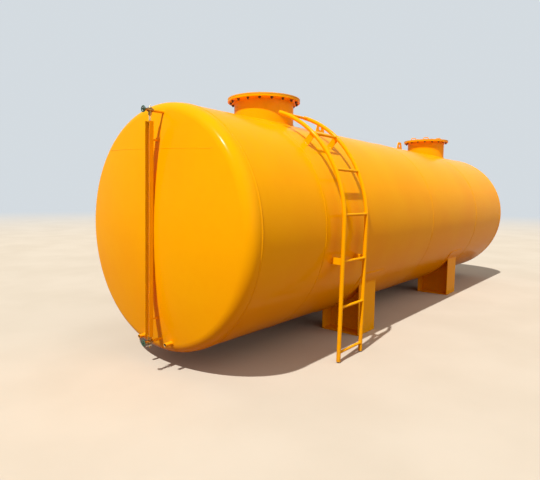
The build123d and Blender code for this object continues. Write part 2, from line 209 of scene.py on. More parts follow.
# the backdrop, the soft fill, the floor, and the colour that the floor bounces
SKY = (0.66, 0.71, 0.75, 1)
FILL = (1.0, 0.96, 0.90)
FLOOR = (0.58, 0.51, 0.42)
FLOOR_LIGHT = (0.62, 0.55, 0.46)
FLOOR_BOUNCE = (0.20, 0.095, 0.02)


def head_out(radial):
    """How far the head stands out from its seam, at a distance from the tank's axis."""
    tangent = CROWN * (RADIUS - KNUCKLE) / (CROWN - KNUCKLE)
    if radial <= tangent:
        return sqrt(CROWN ** 2 - radial ** 2) - CROWN_CENTER
    return HEAD_FLANGE + sqrt(max(KNUCKLE ** 2 - (radial - RADIUS + KNUCKLE) ** 2, 0))


# camera, fitted to the photo
def place_camera():
    yaw, pitch, roll = radians(39.592), radians(-5.291), radians(0.556)
    place = Vector((NEAR_X - 2.45228, AXIS_Y - 3.1415, 1.46532))
    ahead = Vector((cos(pitch) * cos(yaw), cos(pitch) * sin(yaw), sin(pitch)))
    right = Vector((sin(yaw), -cos(yaw), 0))
    up = right.cross(ahead)
    turned_right = cos(roll) * right + sin(roll) * up
    turned_up = -sin(roll) * right + cos(roll) * up
    camera = bpy.data.objects.new("camera", bpy.data.cameras.new("camera"))
    bpy.context.scene.collection.objects.link(camera)
    camera.data.sensor_fit = "HORIZONTAL"
    camera.data.sensor_width = 36
    camera.data.lens = 30.26
    camera.data.clip_end = 300
    turn = Matrix((turned_right, turned_up, -ahead)).transposed().to_4x4()
    camera.matrix_world = Matrix.Translation(place) @ turn
    bpy.context.scene.camera = camera


place_camera()


# shader helpers
def wire(tree, kind, inputs=None, **settings):
    """A new node with its settings made and its inputs set or joined."""
    node = tree.nodes.new("ShaderNode" + kind)
    for key, value in settings.items():
        setattr(node, key, value)
    for key, value in (inputs or {}).items():
        socket = node.inputs[key]
        if isinstance(value, bpy.types.NodeSocket):
            tree.links.new(value, socket)
        else:
            socket.default_value = value
    return node


def start_material(name):
    material = bpy.data.materials.new(name)
    material.use_nodes = True
    tree = material.node_tree
    tree.nodes.clear()
    shader = wire(tree, "BsdfPrincipled")
    output = wire(tree, "OutputMaterial")
    tree.links.new(shader.outputs["BSDF"], output.inputs["Surface"])
    return material, tree, shader


def object_place(tree):
    return wire(tree, "TexCoord").outputs["Object"]


def noise(tree, vector, scale, detail=2.0, roughness=0.5):
    inputs = {"Vector": vector, "Scale": scale, "Detail": detail, "Roughness": roughness}
    return wire(tree, "TexNoise", inputs).outputs["Fac"]


def ramp(tree, value, low, high, out_low=0.0, out_high=1.0):
    inputs = {"Value": value, "From Min": low, "From Max": high, "To Min": out_low, "To Max": out_high}
    return wire(tree, "MapRange", inputs, interpolation_type="SMOOTHSTEP").outputs["Result"]


def calc(tree, operation, first, second=0.0):
    return wire(tree, "Math", {0: first, 1: second}, operation=operation).outputs["Value"]


def times(tree, first, second):
    return calc(tree, "MULTIPLY", first, second)


def mix(tree, factor, first, second):
    """A blend of two colours, each a socket or a plain colour."""
    node = tree.nodes.new("ShaderNodeMix")
    node.data_type = "RGBA"
    sockets = {s.identifier: s for s in node.inputs}
    tree.links.new(factor, sockets["Factor_Float"])
    for key, value in (("A_Color", first), ("B_Color", second)):
        if isinstance(value, bpy.types.NodeSocket):
            tree.links.new(value, sockets[key])
        else:
            sockets[key].default_value = (*value, 1)
    return next(s for s in node.outputs if s.identifier == "Result_Color")


def split(tree, vector):
    return wire(tree, "SeparateXYZ", {"Vector": vector}).outputs


def bump(tree, strength, distance, height, under=None, **settings):
    """A bumped normal, laid over another one if that is given."""
    inputs = {"Strength": strength, "Distance": distance, "Height": height}
    if under is not None:
        inputs["Normal"] = under
    return wire(tree, "Bump", inputs, **settings).outputs["Normal"]


def edge_mask(tree, radius):
    """1 on outside edges, from a bevel of the normal."""
    bevel = wire(tree, "Bevel", {"Radius": radius}, samples=4).outputs["Normal"]
    flat = wire(tree, "NewGeometry").outputs["Normal"]
    same = wire(tree, "VectorMath", {0: bevel, 1: flat}, operation="DOT_PRODUCT").outputs["Value"]
    return ramp(tree, same, 0.995, 0.85)


# materials
ENAMEL = (0.97, 0.418, 0.0)
ENAMEL_DEEP = (0.955, 0.382, 0.0)
ENAMEL_CLOUD = (0.90, 0.275, 0.0)
RUN_STAIN = (0.42, 0.20, 0.03)
DUST = (0.62, 0.45, 0.24)
MUD = (0.23, 0.15, 0.075)
MUD_HEIGHT = 0.42
STREAKS_PER_METRE = 34.0
STREAK_BREAKS = 1.3
RUST = (0.15, 0.045, 0.012)
PRIMER = (0.20, 0.17, 0.15)


def enamel(name, mud, chips, wave, runs=0.0, worn=0.0, weld=False):
    """Glossy yellow-orange machine enamel over steel, with dust, runs, chips and splashed mud."""
    material, tree, shader = start_material(name)
    place = object_place(tree)
    normal = split(tree, wire(tree, "NewGeometry").outputs["Normal"])
    spot = split(tree, place)
    broad = noise(tree, place, 1.1, 2)
    cloud = noise(tree, place, 11.0, 4, 0.6)
    speck = noise(tree, place, 75.0, 5, 0.7)

    colour = mix(tree, ramp(tree, broad, 0.35, 0.7), ENAMEL, ENAMEL_DEEP)
    colour = mix(tree, times(tree, ramp(tree, cloud, 0.3, 0.8), 0.08), colour, ENAMEL_CLOUD)

    dusty = times(tree, ramp(tree, normal["Z"], 0.2, 1.0), ramp(tree, cloud, 0.35, 0.75))
    dusty = times(tree, dusty, 0.03)
    colour = mix(tree, dusty, colour, DUST)
    dirt = dusty

    # stains that run down from the top, as stripes round the tank's axis
    if runs:
        aside, up = calc(tree, "SUBTRACT", spot["Y"], AXIS_Y), calc(tree, "SUBTRACT", spot["Z"], AXIS_Z)
        turn = calc(tree, "ARCTAN2", aside, up)
        across, down = times(tree, spot["X"], STREAKS_PER_METRE), times(tree, turn, STREAK_BREAKS)
        along = wire(tree, "CombineXYZ", {"X": across, "Y": down, "Z": 0.0}).outputs["Vector"]
        stripes = ramp(tree, noise(tree, along, 1.0, 4, 0.65), 0.56, 0.78)
        sides = ramp(tree, calc(tree, "ABSOLUTE", normal["Z"]), 0.97, 0.6)
        streaked = times(tree, times(tree, stripes, sides), runs)
        colour = mix(tree, streaked, colour, RUN_STAIN)
        dirt = calc(tree, "MAXIMUM", dirt, streaked)

    spots = ramp(tree, noise(tree, place, 26.0, 6, 0.7), 0.40, 0.66)
    splash = times(tree, times(tree, ramp(tree, spot["Z"], MUD_HEIGHT, 0.0), spots), mud)
    colour = mix(tree, splash, colour, MUD)
    dirt = calc(tree, "MAXIMUM", dirt, splash)

    bare = times(tree, ramp(tree, speck, 0.71, 0.74), chips)
    if worn:
        edges = times(tree, edge_mask(tree, 0.0022), ramp(tree, cloud, 0.42, 0.66))
        bare = calc(tree, "MAXIMUM", bare, times(tree, edges, worn))
    metal = mix(tree, ramp(tree, noise(tree, place, 190.0, 3), 0.4, 0.6), PRIMER, RUST)
    colour = mix(tree, bare, colour, metal)
    tree.links.new(colour, shader.inputs["Base Color"])

    rough = ramp(tree, cloud, 0.3, 0.75, 0.17, 0.25)
    rough = calc(tree, "ADD", rough, times(tree, dirt, 0.6))
    rough = calc(tree, "ADD", rough, times(tree, bare, 0.35))
    tree.links.new(rough, shader.inputs["Roughness"])
    shader.inputs["Specular IOR Level"].default_value = 0.004
    shader.inputs["Specular Tint"].default_value = (1.0, 0.70, 0.28, 1)
    shader.inputs["Coat Weight"].default_value = 0.11
    shader.inputs["Coat Roughness"].default_value = 0.17

    # slow waves in the plate, orange peel, the ripples of a weld, and the edges of chips
    surface = bump(tree, 0.5, wave, noise(tree, place, 2.1, 1.5))
    surface = bump(tree, 0.28, 0.0004, noise(tree, place, 260.0, 2), surface)
    if weld:
        ripple = wire(
            tree,
            "TexWave",
            {
                "Vector": wire(tree, "UVMap", uv_map="along").outputs["UV"],
                "Scale": 1.0,
                "Distortion": 1.4,
                "Detail": 1.0,
                "Detail Scale": 0.6,
            },
            wave_profile="SAW",
        )
        surface = bump(tree, 0.55, 0.0012, ripple.outputs["Fac"], surface)
    surface = bump(tree, 0.6, 0.0003, bare, surface, invert=True)
    tree.links.new(surface, shader.inputs["Normal"])
    return material


def bare_metal(name, light, dark, stain, rough, scale, metallic=1.0, stain_share=0.5):
    """Cast or plated metal that mottles from light to dark, with stain in its hollows."""
    material, tree, shader = start_material(name)
    place = object_place(tree)
    patch = noise(tree, place, scale, 4, 0.6)
    grain = noise(tree, place, scale * 9, 3, 0.6)
    colour = mix(tree, ramp(tree, patch, 0.3, 0.7), light, dark)
    stained = times(tree, ramp(tree, noise(tree, place, scale * 2.3, 5, 0.7), 0.50, 0.68), stain_share)
    colour = mix(tree, stained, colour, stain)
    tree.links.new(colour, shader.inputs["Base Color"])
    tree.links.new(ramp(tree, patch, 0.25, 0.75, *rough), shader.inputs["Roughness"])
    shader.inputs["Metallic"].default_value = metallic
    tree.links.new(bump(tree, 0.5, 0.0003, grain), shader.inputs["Normal"])
    return material


def wheel_paint(name):
    """Dark green paint on cast iron, rubbed through on the rim."""
    green, pale_green, iron = (0.010, 0.075, 0.045), (0.022, 0.115, 0.070), (0.14, 0.11, 0.09)
    material, tree, shader = start_material(name)
    place = object_place(tree)
    patch = noise(tree, place, 90.0, 4, 0.6)
    colour = mix(tree, ramp(tree, patch, 0.3, 0.7), green, pale_green)
    rubbed = times(tree, edge_mask(tree, 0.0015), ramp(tree, patch, 0.45, 0.6))
    flecks = ramp(tree, noise(tree, place, 260.0, 4, 0.7), 0.68, 0.72)
    rubbed = calc(tree, "MAXIMUM", times(tree, rubbed, 0.7), times(tree, flecks, 0.8))
    colour = mix(tree, rubbed, colour, iron)
    tree.links.new(colour, shader.inputs["Base Color"])
    tree.links.new(ramp(tree, patch, 0.3, 0.7, 0.32, 0.5), shader.inputs["Roughness"])
    tree.links.new(bump(tree, 0.6, 0.0004, noise(tree, place, 480.0, 3)), shader.inputs["Normal"])
    return material


def bore_metal(name, mouth_x):
    """The inside of an open pipe end: pale zinc at its mouth and, further in, dark scale that is also painted
    shade of the bore.
    """
    zinc, dull_zinc = (0.78, 0.75, 0.68), (0.55, 0.50, 0.42)
    # dark scale colours, which also paint the shade inside the bore
    scale, rusty_scale_and_shade = (0.012, 0.009, 0.007), (0.030, 0.014, 0.007)
    material, tree, shader = start_material(name)
    place = object_place(tree)
    patch = noise(tree, place, 130.0, 4, 0.6)
    depth = calc(tree, "SUBTRACT", split(tree, place)["X"], mouth_x)
    depth = calc(tree, "ADD", depth, times(tree, patch, 0.004))
    pale, dark = mix(tree, patch, zinc, dull_zinc), mix(tree, patch, scale, rusty_scale_and_shade)
    tree.links.new(mix(tree, ramp(tree, depth, 0.003, 0.007), pale, dark), shader.inputs["Base Color"])
    tree.links.new(ramp(tree, patch, 0.3, 0.7, 0.55, 0.85), shader.inputs["Roughness"])
    shader.inputs["Specular IOR Level"].default_value = 0.2
    tree.links.new(bump(tree, 0.6, 0.0006, patch), shader.inputs["Normal"])
    return material


def gauge_tube(name):
    """Clear gauge glass with a faint film of scale inside."""
    clear, filmed = (0.93, 0.97, 0.95), (0.80, 0.84, 0.76)
    material, tree, shader = start_material(name)
    place = object_place(tree)
    film = ramp(tree, noise(tree, place, 45.0, 4, 0.65), 0.42, 0.72)
    tree.links.new(mix(tree, film, clear, filmed), shader.inputs["Base Color"])
    tree.links.new(ramp(tree, film, 0.0, 1.0, 0.02, 0.14), shader.inputs["Roughness"])
    shader.inputs["Transmission Weight"].default_value = 0.9
    shader.inputs["IOR"].default_value = 1.47
    tree.links.new(bump(tree, 0.15, 0.0002, noise(tree, place, 120.0, 2)), shader.inputs["Normal"])
    return material


def rubber(name):
    """Dull black rubber, greyed in patches."""
    black, grey = (0.02, 0.018, 0.016), (0.06, 0.05, 0.04)
    material, tree, shader = start_material(name)
    place = object_place(tree)
    patch = noise(tree, place, 70.0, 4)
    tree.links.new(mix(tree, ramp(tree, patch, 0.35, 0.7), black, grey), shader.inputs["Base Color"])
    tree.links.new(ramp(tree, patch, 0.3, 0.7, 0.65, 0.85), shader.inputs["Roughness"])
    tree.links.new(bump(tree, 0.4, 0.0003, noise(tree, place, 400.0, 3)), shader.inputs["Normal"])
    return material


shell_paint = enamel("shell_paint", mud=0.12, chips=0.12, wave=0.0016, runs=0.02)
fitting_paint = enamel("fitting_paint", mud=0.2, chips=0.4, wave=0.0004, worn=0.5)
ladder_paint = enamel("ladder_paint", mud=0.3, chips=0.4, wave=0.0002, worn=0.5)
leg_paint = enamel("leg_paint", mud=0.12, chips=0.25, wave=0.0006, worn=0.4)
weld_paint = enamel("weld_paint", mud=0.15, chips=0.4, wave=0.0003, weld=True)
brass = bare_metal(
    "weathered_brass",
    light=(0.58, 0.33, 0.09), dark=(0.12, 0.065, 0.022), stain=(0.04, 0.03, 0.015),
    rough=(0.24, 0.46), scale=62.0,
)
bright_brass = bare_metal(
    "bright_brass",
    light=(0.60, 0.47, 0.27), dark=(0.42, 0.30, 0.14), stain=(0.16, 0.10, 0.05),
    rough=(0.45, 0.62), scale=80.0, stain_share=0.35,
)
nut_steel = bare_metal(
    "nut_steel",
    light=(0.17, 0.075, 0.02), dark=(0.075, 0.033, 0.012), stain=(0.21, 0.09, 0.012),
    rough=(0.5, 0.75), scale=90.0, metallic=0.3,
)
green_iron = wheel_paint("green_iron")
plated = bare_metal(
    "plated_steel",
    light=(0.70, 0.69, 0.64), dark=(0.45, 0.44, 0.40), stain=(0.25, 0.14, 0.06),
    rough=(0.22, 0.42), scale=110.0, stain_share=0.3,
)
dark_steel = bare_metal(
    "dark_steel",
    light=(0.085, 0.078, 0.072), dark=(0.035, 0.030, 0.028), stain=(0.12, 0.045, 0.015),
    rough=(0.42, 0.66), scale=90.0, metallic=0.75,
)
# the outlets' bores: pale zinc at the mouth, then dark scale that is partly painted shade
bore_scale_and_painted_shade = bore_metal("bore_scale_and_painted_shade", OUTLET_MOUTH_X)
tube_glass = gauge_tube("tube_glass")
seal = rubber("seal_rubber")

# words in the nodes' names and the paint that goes with them; every other node has the fittings' paint
PAINTS = (
    (("shell_course", "near_head", "far_head"), shell_paint),
    (("rung", "stringer", "ladder"), ladder_paint),
    (("leg", "wear_pad"), leg_paint),
    (("_cock",), brass),
    (("handwheel",), green_iron),
    (("drain_lever",), plated),
    (("gauge_glass",), tube_glass),
)
for name, node in nodes.items():
    fitting = (paint for words, paint in PAINTS if any(word in name for word in words))
    node.data.materials.clear()
    node.data.materials.append(next(fitting, fitting_paint))


# mesh helpers
class Build:
    """Gathers vertices, faces and the length along each weld, then makes one piece."""

    def __init__(self):
        self.verts = []
        self.faces = []
        self.along = []
        self.smooth = []

    def add(self, verts, faces, along=None, smooth=True):
        base = len(self.verts)
        self.verts += [tuple(v) for v in verts]
        self.faces += [tuple(base + i for i in f) for f in faces]
        self.along += along or [(0.0, 0.0)] * len(verts)
        self.smooth += [smooth] * len(faces)

    def piece(self, name, material, slot="tank_enamel", body="tank"):
        mesh = bpy.data.meshes.new(name)
        mesh.from_pydata(self.verts, [], self.faces)
        mesh.update()
        uv = mesh.uv_layers.new(name="along")
        for loop in mesh.loops:
            uv.data[loop.index].uv = self.along[loop.vertex_index]
        for polygon, smooth in zip(mesh.polygons, self.smooth):
            polygon.use_smooth = smooth
        mesh.materials.append(material)
        made = bpy.data.objects.new(name, mesh)
        bpy.context.scene.collection.objects.link(made)
        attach(made, body)


def weld(build, path, outward, across, rise=None, closed=False, sides=8):
    """A weld bead swept along a path, with outward the surface's direction at each point."""
    rise = across if rise is None else rise
    count = len(path)
    verts, along, faces = [], [], []
    run = 0.0
    for i, (point, out) in enumerate(zip(path, outward)):
        before = path[i - 1] if closed or i else path[i]
        after = path[(i + 1) % count] if closed or i < count - 1 else path[i]
        tangent = (after - before).normalized()
        out = (out - out.dot(tangent) * tangent).normalized()
        side = tangent.cross(out)
        swell = 1 + draw.uniform(-BEAD_SWELL, BEAD_SWELL)
        wander = draw.uniform(-BEAD_WANDER, BEAD_WANDER) * across
        if not closed and i in (0, count - 1):
            swell *= BEAD_END
        if i:
            run += (point - path[i - 1]).length
        for k in range(sides):
            turn = tau * k / sides
            aside = side * (across * swell * cos(turn) + wander)
            verts.append(point + aside + out * (rise * swell * sin(turn)))
            along.append((run / BEAD_RIPPLE / tau, k / sides))
    for i in range(count if closed else count - 1):
        a, b = i * sides, (i + 1) % count * sides
        for k in range(sides):
            n = (k + 1) % sides
            faces.append((a + k, a + n, b + n, b + k))
    if not closed:
        faces.append(tuple(range(sides))[::-1])
        faces.append(tuple((count - 1) * sides + k for k in range(sides)))
    # the shell is the part's widest piece on the +Y side, so no bead may pass it there
    ceiling = cad_box[1].y
    for v in verts:
        v.y = min(v.y, ceiling)
    build.add(verts, faces, along)


def line(start, end, spacing):
    start, end = Vector(start), Vector(end)
    count = max(2, int((end - start).length / spacing) + 1)
    return [start.lerp(end, i / (count - 1)) for i in range(count)]


def weld_line(build, start, end, out, across):
    path = line(start, end, LINE_SPACING)
    weld(build, path, [Vector(out)] * len(path), across)


def directions(axis, count, start=0.0):
    """The axis as a unit vector, and directions spread evenly round it."""
    axis = Vector(axis).normalized()
    first = axis.orthogonal().normalized()
    second = axis.cross(first)
    turns = [start + tau * i / count for i in range(count)]
    return axis, [first * cos(turn) + second * sin(turn) for turn in turns]


def ring(center, axis, radius, count):
    """Points round a circle and the directions from its centre."""
    outs = directions(axis, count)[1]
    return [Vector(center) + radius * out for out in outs], outs


def turned_verts(center, axis, profile, count, start=0.0):
    """A circle of points for each (distance along the axis, radius) of a profile."""
    axis, outs = directions(axis, count, start)
    return [Vector(center) + axis * distance + out * radius for distance, radius in profile for out in outs]


def lathe(build, center, axis, profile, count, smooth=True, start=0.0):
    """A turned shape with an end face at both ends of its profile."""
    faces = []
    last = (len(profile) - 1) * count
    for row in range(0, last, count):
        for i in range(count):
            n = (i + 1) % count
            faces.append((row + i, row + n, row + count + n, row + count + i))
    faces.append(tuple(range(count))[::-1])
    faces.append(tuple(last + i for i in range(count)))
    build.add(turned_verts(center, axis, profile, count, start), faces, smooth=smooth)


def tube(build, center, axis, profile, count):
    """A turned shape whose profile closes on itself and leaves a bore open."""
    faces = []
    for p in range(len(profile)):
        row, following = p * count, (p + 1) % len(profile) * count
        for i in range(count):
            n = (i + 1) % count
            faces.append((row + i, following + i, following + n, row + n))
    build.add(turned_verts(center, axis, profile, count), faces)


def hexagon(build, center, axis, start, end, flats, turn):
    """A hexagon bolt head or nut with chamfered corners, from start to end along the axis."""
    corner = flats / sqrt(3)
    cut = corner - flats / 2
    slope = cut * CHAMFER
    profile = [(start, corner - cut), (start + slope, corner), (end - slope, corner), (end, corner - cut)]
    lathe(build, center, axis, profile, 6, False, turn)


def middle(low, high):
    """The middle of a box, as x, y and z."""
    return [(a + b) / 2 for a, b in zip(low, high)]


def shell_point(x, angle):
    """A point on the shell, with the angle up from the +Y side."""
    return Vector((x, AXIS_Y + RADIUS * cos(angle), AXIS_Z + RADIUS * sin(angle)))


# shell and head seams
seams = Build()
for number, x in enumerate(SEAMS):
    points, outs = ring((x, AXIS_Y, AXIS_Z), (1, 0, 0), RADIUS, SEAM_POINTS)
    at_head = number in (0, len(SEAMS) - 1)
    weld(seams, points, outs, *(HEAD_SEAM_BEAD if at_head else RING_SEAM_BEAD), closed=True)
seams.piece("ring_seam_welds", weld_paint)

long_seams = Build()
for number, angle in enumerate(LONG_SEAM_ANGLES):
    turn = radians(angle)
    path = line(shell_point(SEAMS[number], turn), shell_point(SEAMS[number + 1], turn), LONG_SEAM_SPACING)
    weld(long_seams, path, [Vector((0, cos(turn), sin(turn)))] * len(path), *LONG_SEAM_BEAD)
long_seams.piece("long_seam_welds", weld_paint)

chords = Build()
for side, seam_x in ((-1, NEAR_X), (1, FAR_X)):
    path, outs = [], []
    for i in range(CHORD_POINTS):
        across = CHORD_REACH * (2 * i / (CHORD_POINTS - 1) - 1)
        up = CHORD_HEIGHT + CHORD_TILT * across
        radial = hypot(across, up)
        path.append(Vector((seam_x + side * head_out(radial), AXIS_Y + across, AXIS_Z + up)))
        outs.append(Vector((side, 0, 0)) if radial < CHORD_FLAT else Vector((side, across, up)))
    weld(chords, path, outs, *CHORD_BEAD)
chords.piece("head_seam_welds", weld_paint)


# manways: welds, bolts and gaskets
for end in ("near", "far"):
    low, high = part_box(f"{end}_manway_flange")
    mx, my, _ = middle(low, high)
    cover_top = high.z - low.z + COVER_THICKNESS
    welds = Build()
    path, outs = [], []
    for i in range(NECK_POINTS):
        turn = tau * i / NECK_POINTS
        across = NECK_RADIUS * sin(turn)
        height = sqrt(RADIUS ** 2 - across ** 2)
        path.append(Vector((mx + NECK_RADIUS * cos(turn), AXIS_Y + across, AXIS_Z + height)))
        outs.append(Vector((cos(turn), sin(turn), 0)) + Vector((0, across, height)) / RADIUS)
    weld(welds, path, outs, NECK_ROOT_BEAD, closed=True)
    points, outs = ring((mx, my, low.z), (0, 0, 1), NECK_RADIUS, FLANGE_POINTS)
    weld(welds, points, outs, FLANGE_BEAD, closed=True)
    welds.piece(f"{end}_manway_welds", weld_paint)

    nuts, heads = Build(), Build()
    washer = [
        (WASHER_BOTTOM, WASHER_BORE), (WASHER_BOTTOM, WASHER_RADIUS),
        (-SEAT_GAP, WASHER_RADIUS), (-SEAT_GAP, WASHER_BORE),
    ]
    for k in range(BOLT_COUNT):
        turn = BOLT_TURNS[end] + tau * k / BOLT_COUNT
        center = (mx + BOLT_CIRCLE * cos(turn), my + BOLT_CIRCLE * sin(turn), low.z)
        lathe(nuts, center, (0, 0, 1), washer, WASHER_SIDES, False)
        hexagon(nuts, center, (0, 0, 1), NUT_BOTTOM, WASHER_BOTTOM, NUT_FLATS, draw.uniform(0, 1))
        head = cover_top + SEAT_GAP, cover_top + HEAD_RISE
        hexagon(heads, center, (0, 0, 1), *head, HEAD_FLATS, draw.uniform(0, 1))
        tip = NUT_BOTTOM - draw.uniform(*STUD_STICKS_OUT)
        stud = [(tip, STUD_TIP_RADIUS), (tip + STUD_CHAMFER, STUD_RADIUS), (STUD_TOP, STUD_RADIUS)]
        lathe(nuts, center, (0, 0, 1), stud, STUD_SIDES)
        lathe(nuts, center, (0, 0, 1), [(0.0, STUD_RADIUS), (cover_top, STUD_RADIUS)], STUD_SIDES)
    nuts.piece(f"{end}_manway_nuts", nut_steel, "lever_steel")
    heads.piece(f"{end}_manway_bolt_heads", fitting_paint)

    feet = Build()
    toward = Vector((cos(HANDLE_BEARING), sin(HANDLE_BEARING), 0))
    for spread in (-HANDLE_SPREAD, 0, HANDLE_SPREAD):
        for side in (-1, 1):
            spot = Vector((mx, my, high.z + COVER_THICKNESS)) + toward * (spread + side * HANDLE_WIDTH / 2)
            points, outs = ring(spot, (0, 0, 1), HANDLE_RADIUS, SMALL_RING_POINTS)
            weld(feet, points, [out + Vector((0, 0, 1)) for out in outs], HANDLE_BEAD, closed=True)
    feet.piece(f"{end}_cover_handle_welds", weld_paint)

    gasket = Build()
    inner, outer = COVER_RADIUS - GASKET_WIDTH, COVER_RADIUS + GASKET_SHOWS
    profile = [(-GASKET_HALF, inner), (-GASKET_HALF, outer), (GASKET_HALF, outer), (GASKET_HALF, inner)]
    lathe(gasket, (mx, my, high.z), (0, 0, 1), profile, GASKET_SIDES, False)
    gasket.piece(f"{end}_manway_gasket", seal, "handwheel_green")


# lifting lugs' welds
for end in ("near", "far"):
    low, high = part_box(f"{end}_lifting_lug")
    welds = Build()
    base = AXIS_Z + RADIUS
    corners = [(low.x, low.y), (high.x, low.y), (high.x, high.y), (low.x, high.y)]
    path, outs = [], []
    for a, b in zip(corners, corners[1:] + corners[:1]):
        direction = Vector((b[0] - a[0], b[1] - a[1], 0)).normalized()
        edge = line((*a, base), (*b, base), LUG_SPACING)[:-1]
        path += edge
        outs += [Vector((direction.y, -direction.x, 0.9))] * len(edge)
    weld(welds, path, outs, LUG_BEAD, closed=True)
    welds.piece(f"{end}_lug_welds", weld_paint)


# ladder welds
def along_stringer(distance):
    """The place and outward direction of the stringers' centreline, a distance up from the ground."""
    past_bend = distance - BEND_Z / cos(LEAN)
    turn = max(past_bend, 0) / BEND_RADIUS - LEAN
    outward = Vector((0, -cos(turn), sin(turn)))
    rise = Vector((0, -sin(LEAN), cos(LEAN)))
    center = Vector((0, BEND_Y + BEND_RADIUS * cos(LEAN), BEND_Z + BEND_RADIUS * sin(LEAN)))
    return center + outward * BEND_RADIUS + rise * min(past_bend, 0), outward


def at_rung(number):
    """The place of a rung, and the ladder's outward and upward directions there."""
    spot, outward = along_stringer(FIRST_RUNG + number * RUNG_STEP)
    return spot, outward, Vector((1, 0, 0)).cross(outward)


rails = [(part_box(f"{end}_stringer")[0].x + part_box(f"{end}_stringer")[1].x) / 2 for end in ("near", "far")]
ladder = Build()
for number in range(RUNG_COUNT):
    spot, outward, upward = at_rung(number)
    for rail, inward in ((rails[0], 1), (rails[1], -1)):
        path, outs = [], []
        for i in range(RUNG_POINTS):
            turn = tau * i / RUNG_POINTS
            direction = outward * cos(turn) + upward * sin(turn)
            reach = sqrt(STRINGER_RADIUS ** 2 - (RUNG_RADIUS * cos(turn)) ** 2)
            path.append(Vector((rail + inward * reach, spot.y, spot.z)) + direction * RUNG_RADIUS)
            outs.append(direction + Vector((inward, 0, 0)))
        weld(ladder, path, outs, RUNG_BEAD, closed=True)

# both faces of the flat bars, at the shell and at the pipes
to_face = BRACKET_THICKNESS / 2
for level in ("lower", "upper"):
    spot, outward, upward = at_rung(BRACKET_RUNGS[level])
    center = Vector((0, AXIS_Y, AXIS_Z))
    inward = -outward
    for rail in rails:
        for face in (-1, 1):
            at_shell, at_pipe = [], []
            for i in range(BRACKET_POINTS):
                off = (i / (BRACKET_POINTS - 1) - 0.5) * BRACKET_WIDTH
                start = Vector((rail + face * to_face, spot.y, spot.z)) + upward * off
                from_axis = Vector((0, start.y, start.z)) - center
                b = from_axis.dot(inward)
                reach = -b - sqrt(max(b * b - from_axis.length_squared + RADIUS ** 2, 0))
                at_shell.append(start + inward * reach)
                at_pipe.append(start + inward * sqrt(STRINGER_RADIUS ** 2 - to_face ** 2))
            sideways = Vector((face, 0, 0))
            weld(ladder, at_shell, [sideways - inward] * BRACKET_POINTS, BRACKET_SHELL_BEAD)
            weld(ladder, at_pipe, [sideways + inward] * BRACKET_POINTS, BRACKET_PIPE_BEAD)
ladder.piece("ladder_welds", weld_paint)


# wear pads and legs
PAD_BEAD_OUT = 0.002
PAD_BEAD_LIFT = 0.001
BASE_TOP = 0.0105
WEB_BEAD_START = 0.012
LEG_TOP = RADIUS + PAD_THICKNESS + 0.0005
LEG_INSIDE = (LEG_INNER + LEG_PLATE, LEG_OUTER - LEG_PLATE)


def pad_outline(half, spread):
    """Points round a pad's rounded edge, as distances from its middle along X and round the shell."""
    outline = []
    reach = PAD_CORNER + PAD_BEAD_OUT
    for cx, ca, start in ((1, 1, 0), (-1, 1, 90), (-1, -1, 180), (1, -1, 270)):
        for i in range(9):
            turn = radians(start + 90 * i / 8)
            outline.append(
                (cx * (half - PAD_CORNER) + reach * cos(turn), ca * (spread - PAD_CORNER) + reach * sin(turn))
            )
    dense = []
    for i, (u, v) in enumerate(outline):
        u2, v2 = outline[(i + 1) % len(outline)]
        steps = max(1, int(hypot(u2 - u, v2 - v) / PAD_SPACING))
        dense += [(u + (u2 - u) * s / steps, v + (v2 - v) * s / steps) for s in range(steps)]
    return dense


def under_pad(across):
    """The height of the legs' top edge, at a distance beside the tank's middle."""
    return AXIS_Z - sqrt(LEG_TOP ** 2 - across ** 2)


for end in ("near", "far"):
    for side, sign in (("left", 1), ("right", -1)):
        welds = Build()
        pad_low, pad_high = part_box(f"{end}_{side}_wear_pad")
        pad_x = (pad_low.x + pad_high.x) / 2
        first, last = radians(PAD_ANGLES[0]), radians(PAD_ANGLES[1])
        path, outs = [], []
        for u, v in pad_outline((pad_high.x - pad_low.x) / 2, (last - first) / 2 * RADIUS):
            angle = (first + last) / 2 + v / RADIUS
            out = Vector((0, sign * cos(angle), -sin(angle)))
            path.append(Vector((pad_x + u, AXIS_Y, AXIS_Z)) + out * (RADIUS + PAD_BEAD_LIFT))
            outs.append(out)
        weld(welds, path, outs, PAD_BEAD, closed=True)

        leg_low, leg_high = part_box(f"{end}_{side}_leg")
        lx = (leg_low.x + leg_high.x) / 2
        x0, x1 = lx - LEG_LENGTH / 2, lx + LEG_LENGTH / 2
        for across, facing in ((LEG_OUTER, 1), (LEG_INSIDE[1], -1), (LEG_INSIDE[0], 1), (LEG_INNER, -1)):
            y, z = AXIS_Y + sign * across, under_pad(across)
            weld_line(welds, (x0, y, z), (x1, y, z), (0, sign * facing, -0.8), LEG_TOP_BEAD)
            weld_line(welds, (x0, y, BASE_TOP), (x1, y, BASE_TOP), (0, sign * facing, 0.8), LEG_BEAD)
        for facing in (-1, 1):
            x = lx + facing * LEG_PLATE / 2
            path, outs = [], []
            for i in range(WEB_POINTS):
                across = LEG_INSIDE[0] + (LEG_OUTER - LEG_INNER - 2 * LEG_PLATE) * i / (WEB_POINTS - 1)
                path.append(Vector((x, AXIS_Y + sign * across, under_pad(across))))
                outs.append(Vector((facing, -sign * across * 0.6, -0.6)))
            weld(welds, path, outs, WEB_TOP_BEAD)
            for across, inward in ((LEG_INSIDE[1], -1), (LEG_INSIDE[0], 1)):
                y, z = AXIS_Y + sign * across, under_pad(across)
                weld_line(welds, (x, y, WEB_BEAD_START), (x, y, z), (facing, sign * inward, 0), LEG_BEAD)
            y0, y1 = (AXIS_Y + sign * across for across in LEG_INSIDE)
            weld_line(welds, (x, y0, BASE_TOP), (x, y1, BASE_TOP), (facing, 0, 0.8), LEG_BEAD)
        welds.piece(f"{end}_{side}_leg_welds", weld_paint)


# gauge and outlets: roots and small parts
roots = Build()


